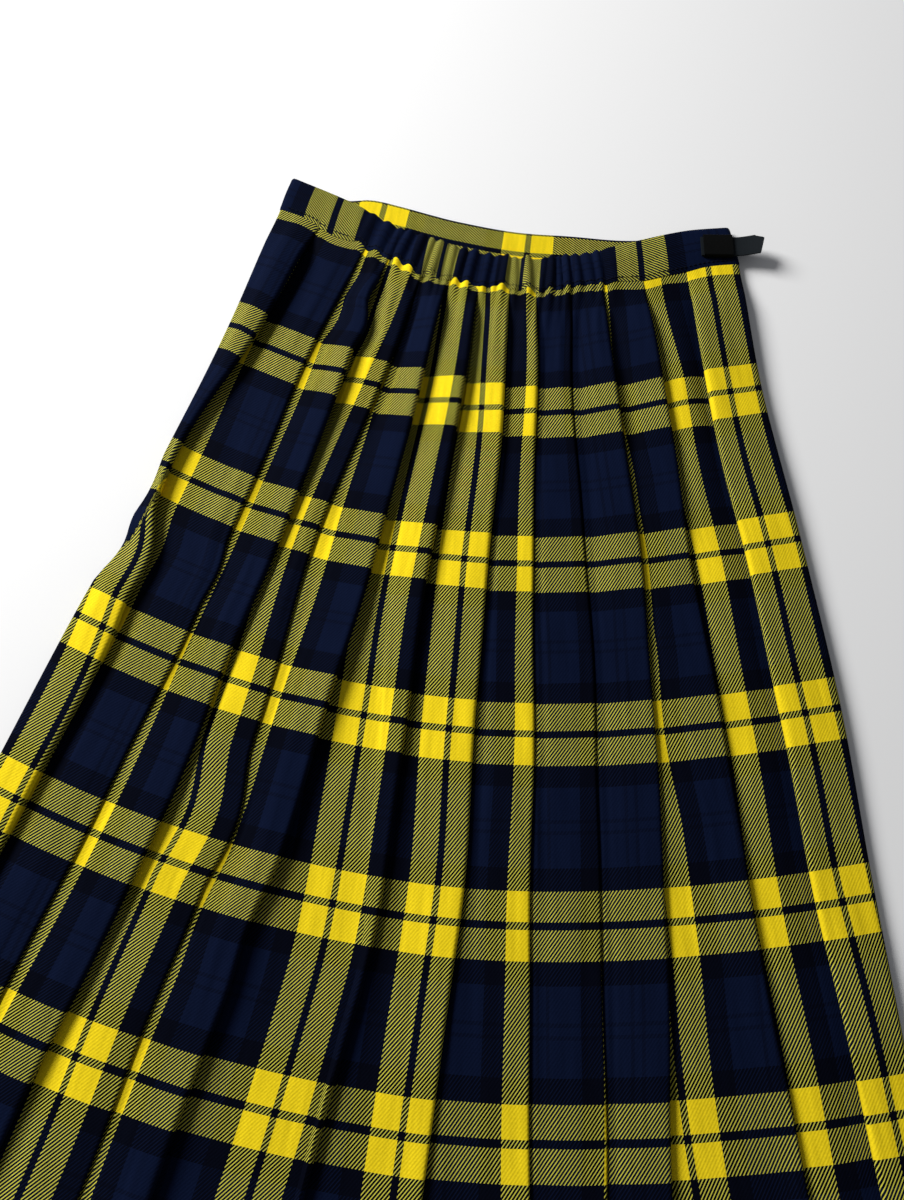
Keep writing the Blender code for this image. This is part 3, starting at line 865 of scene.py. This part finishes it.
def make_back_band():
    left, right = WAIST[0][0], WAIST[-1][0]
    low = BAND_WALL + 0.35 + BAND_WALL / 2
    xs = evenly(left + 3, right - 3, 260)
    upper, lower, cloth = [], [], []
    steps = 16
    for k in range(steps, -1, -1):
        q = k / steps
        z_l, z_r = band_z(xs[0], q), band_z(xs[-1], q)
        pts = [(left + CURL, low), (left + 1.4, low + 0.2), (left + 0.3, low + 0.9),
               (left, 0.5 * (low + z_l)), (left + 0.3, z_l - 1.0), (left + 1, z_l - 0.4)]
        pts += [(x, band_z(x, q)) for x in xs]
        pts += [(right - 1, z_r - 0.4), (right - 0.3, z_r - 1.0), (right, 0.5 * (low + z_r)),
                (right - 0.3, low + 0.9), (right - 1.4, low + 0.2), (right - CURL, low)]
        # both long edges of the band are turned edges, so its wall thins there
        half = (BAND_WALL / 2 - 0.05) * min(1.0, 0.45 + 4 * q * (1 - q) * 3)
        up, down = offset(pts, half)
        for chain, grid in ((up, upper), (down, lower)):
            grid.append([(band_narrow(x, q), back_band_y(x, q), z) for x, z in chain])
        row = (BACK_BAND_ROW + BAND_HIGH * (1 - q)) * 0.001
        cloth.append([((curve(BACK_BAND_CHECK, x) + SPARE * SETT_ALONG) * 0.001, row) for x, _ in pts])
    return wall("waistband_back_cloth", upper, lower, cloth, band_cloth)


def make_front_band():
    xs = evenly(WAIST[0][0] + 3, WAIST[-1][0] - 3, 60)
    upper, lower, cloth = [], [], []
    steps = 8
    for k in range(steps, -1, -1):
        q = k / steps
        row = [(band_narrow(x, q), waist("front_top_y", x) - BAND_HIGH * (1 - q)) for x in xs]
        upper.append([(x, y, BAND_WALL) for x, y in row])
        lower.append([(x, y, 0.0) for x, y in row])
        place_up = (FRONT_BAND_ROW + BAND_HIGH * (1 - q)) * 0.001
        cloth.append([((curve(FRONT_BAND_CHECK, x) + SPARE * SETT_ALONG) * 0.001, place_up) for x in xs])
    return wall("waistband_front_cloth", upper, lower, cloth, band_cloth)


def make_stitches():
    """The row of dark stitches that holds the back band down, just above the seam."""
    verts, faces = [], []
    q = STITCH_UP / BAND_HIGH
    x = WAIST[0][0] + 5.0

    def at(px):
        return Vector((band_narrow(px, q), back_band_y(px, q), band_z(px, q) + BAND_WALL / 2 + 0.4))

    while x < WAIST[-1][0] - 6.0:
        a, b = at(x), at(x + STITCH_LONG)
        way = (b - a).normalized()
        side = way.cross(Vector((0, 0, 1))).normalized()
        up = side.cross(way)
        first = len(verts)
        verts.append(place(*a))
        for t in (0.18, 0.82):
            for k in range(6):
                turn = math.pi / 3 * k
                out = 0.8 * STITCH_HALF * (math.cos(turn) * side + 0.7 * math.sin(turn) * up)
                verts.append(place(*(a.lerp(b, t) + out)))
        verts.append(place(*b))
        for k in range(6):
            m = (k + 1) % 6
            faces.append((first, first + 1 + m, first + 1 + k))
            faces.append((first + 1 + k, first + 1 + m, first + 7 + m, first + 7 + k))
            faces.append((first + 13, first + 7 + k, first + 7 + m))
        x += STITCH_NEXT_GATHERED if GATHER_FROM < x < GATHER_TO else STITCH_NEXT
    mesh = bpy.data.meshes.new("band_stitches")
    mesh.from_pydata(verts, [], faces)
    mesh.polygons.foreach_set("use_smooth", [True] * len(faces))
    mesh.materials.append(thread)
    return link(bpy.data.objects.new("band_stitches", mesh))


def on_hip(along, across, z):
    """A point by its place along and across the strap, from the keeper's middle."""
    c, s = math.cos(KEEPER_TURN), math.sin(KEEPER_TURN)
    return (KEEPER[0] + along * c - across * s, KEEPER[1] + along * s + across * c, z)


def strap_z(along):
    free = max(0.0, along - STRAP_FREE) / (STRAP_END - STRAP_FREE)
    return STRAP_Z + STRAP_LIFT * free ** 1.4


def make_strap():
    upper, lower, cloth = [], [], []
    for across in evenly(1.0, -1.0, 16):
        end = STRAP_END - STRAP_CORNER * ease((across - 0.45) / 0.55) - STRAP_SLANT * (1 - across) / 2
        alongs = evenly(STRAP_START, end, 36)
        y = across * STRAP_WIDE / 2
        thin = 0.5 * abs(across) ** 6
        lower.append([on_hip(a, y, strap_z(a) + 0.4 * thin) for a in alongs])
        upper.append([on_hip(a, y, strap_z(a) + STRAP_THICK - 0.6 * thin) for a in alongs])
        cloth.append([(a * 0.001, y * 0.001) for a in alongs])
    return wall("adjuster_strap_leather", upper, lower, cloth, strap_black)


def make_keeper():
    inner, outer = STRAP_WIDE / 2 + 0.35, KEEPER_WIDE / 2
    top = STRAP_Z + STRAP_THICK + 0.35

    def channel(half_wide, roof, corner):
        pts = [(half_wide, STRAP_Z)]
        for k in range(5):
            t = math.pi / 2 * k / 4
            pts.append((half_wide - corner + corner * math.cos(t), roof - corner + corner * math.sin(t)))
        return pts + [(-y, z) for y, z in reversed(pts)]

    out_line = channel(outer, top + KEEPER_THICK, 1.0)
    in_line = channel(inner, top, 0.3)
    ends = evenly(-KEEPER_LONG / 2, KEEPER_LONG / 2, 8)
    upper = [[on_hip(a, y, z) for a in ends] for y, z in out_line]
    lower = [[on_hip(a, y, z) for a in ends] for y, z in in_line]
    cloth = [[(a * 0.001, y * 0.001) for a in ends] for y, z in out_line]
    return wall("adjuster_keeper_leather", upper, lower, cloth, keeper_black)


back, front = make_back(), make_front()
back_band, front_band = make_back_band(), make_front_band()
strap, keeper = make_strap(), make_keeper()
stitches = make_stitches()
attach(stitches, "root")
for piece, node, slot in (
    (back, "skirt_back", "check_cloth"), (front, "skirt_front", "check_cloth"),
    (back_band, "waistband_back", "check_cloth"), (front_band, "waistband_front", "check_cloth"),
    (strap, "adjuster_strap", "strap_black"), (keeper, "adjuster_keeper", "keeper_black"),
):
    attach(piece, "root")
    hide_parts(node)

# stage: a pale table, one large soft light from the left, a camera as the photo's
FLOOR_HALF = 4.0      # metres
ROOM_LIGHT = 0.165
ground = bpy.data.meshes.new("floor")
corners = [(x * FLOOR_HALF, y * FLOOR_HALF, 0) for x, y in ((-1, -1), (1, -1), (1, 1), (-1, 1))]
ground.from_pydata(corners, [], [(0, 1, 2, 3)])
floor = link(bpy.data.objects.new("floor", ground))
floor_mat, floor_tree, floor_shader = nodes_of("floor_paper")
floor_shader.inputs["Base Color"].default_value = (0.86, 0.86, 0.865, 1.0)
matt(floor_shader, 0.9, 0.1)
ground.materials.append(floor_mat)


def area_light(name, where, aim, size, watts, colour):
    data = bpy.data.lights.new(name, "AREA")
    data.shape = "DISK"
    data.size = size
    data.energy = watts
    data.color = colour
    ob = link(bpy.data.objects.new(name, data))
    ob.location = where
    ob.rotation_euler = (Vector(aim) - Vector(where)).to_track_quat("-Z", "Y").to_euler()
    return ob


area_light("window", (-1.6, 0.95, 1.15), (0.0, 0.05, 0.0), 1.0, 70.0, (1.0, 0.995, 0.98))
world = bpy.data.worlds.new("room")
bpy.context.scene.world = world
world.use_nodes = True
world.node_tree.nodes["Background"].inputs[0].default_value = (0.93, 0.95, 1.0, 1.0)
world.node_tree.nodes["Background"].inputs[1].default_value = ROOM_LIGHT

# the camera looks down at the waist end, 19 degrees off straight down, turned 8 degrees
CAM_HIGH = 590.0
CAM_TILT = math.radians(18.9)
CAM_TURN = math.radians(8.0)
PICTURE_WIDE, PICTURE_HIGH = 904.0, 1200.0
CAM_FOCUS = 970.0                     # in the picture's pixels
SEAM_PIXEL = (508.0, 280.0)           # where the picture shows the frame's own zero


def ground_from_pixel(px, py):
    """The point on the ground that a pixel shows, from the point under the camera."""
    side, up = (px - PICTURE_WIDE / 2) / CAM_FOCUS, (PICTURE_HIGH / 2 - py) / CAM_FOCUS
    t = CAM_HIGH / (math.cos(CAM_TILT) - up * math.sin(CAM_TILT))
    x, y = side * t, (up * math.cos(CAM_TILT) + math.sin(CAM_TILT)) * t
    c, s = math.cos(CAM_TURN), math.sin(CAM_TURN)
    return (x * c - y * s, x * s + y * c)


zero = ground_from_pixel(*SEAM_PIXEL)
cam_data = bpy.data.cameras.new("camera")
cam_data.sensor_fit = "AUTO"
cam_data.sensor_width = 36.0
cam_data.lens = CAM_FOCUS / PICTURE_HIGH * 36.0
camera = link(bpy.data.objects.new("camera", cam_data))
camera.location = place(-zero[0], -zero[1], CAM_HIGH)
camera.rotation_euler = (Matrix.Rotation(CAM_TURN, 3, "Z") @ Matrix.Rotation(CAM_TILT, 3, "X")).to_euler()
bpy.context.scene.camera = camera
bpy.context.scene.view_settings.view_transform = "Standard"
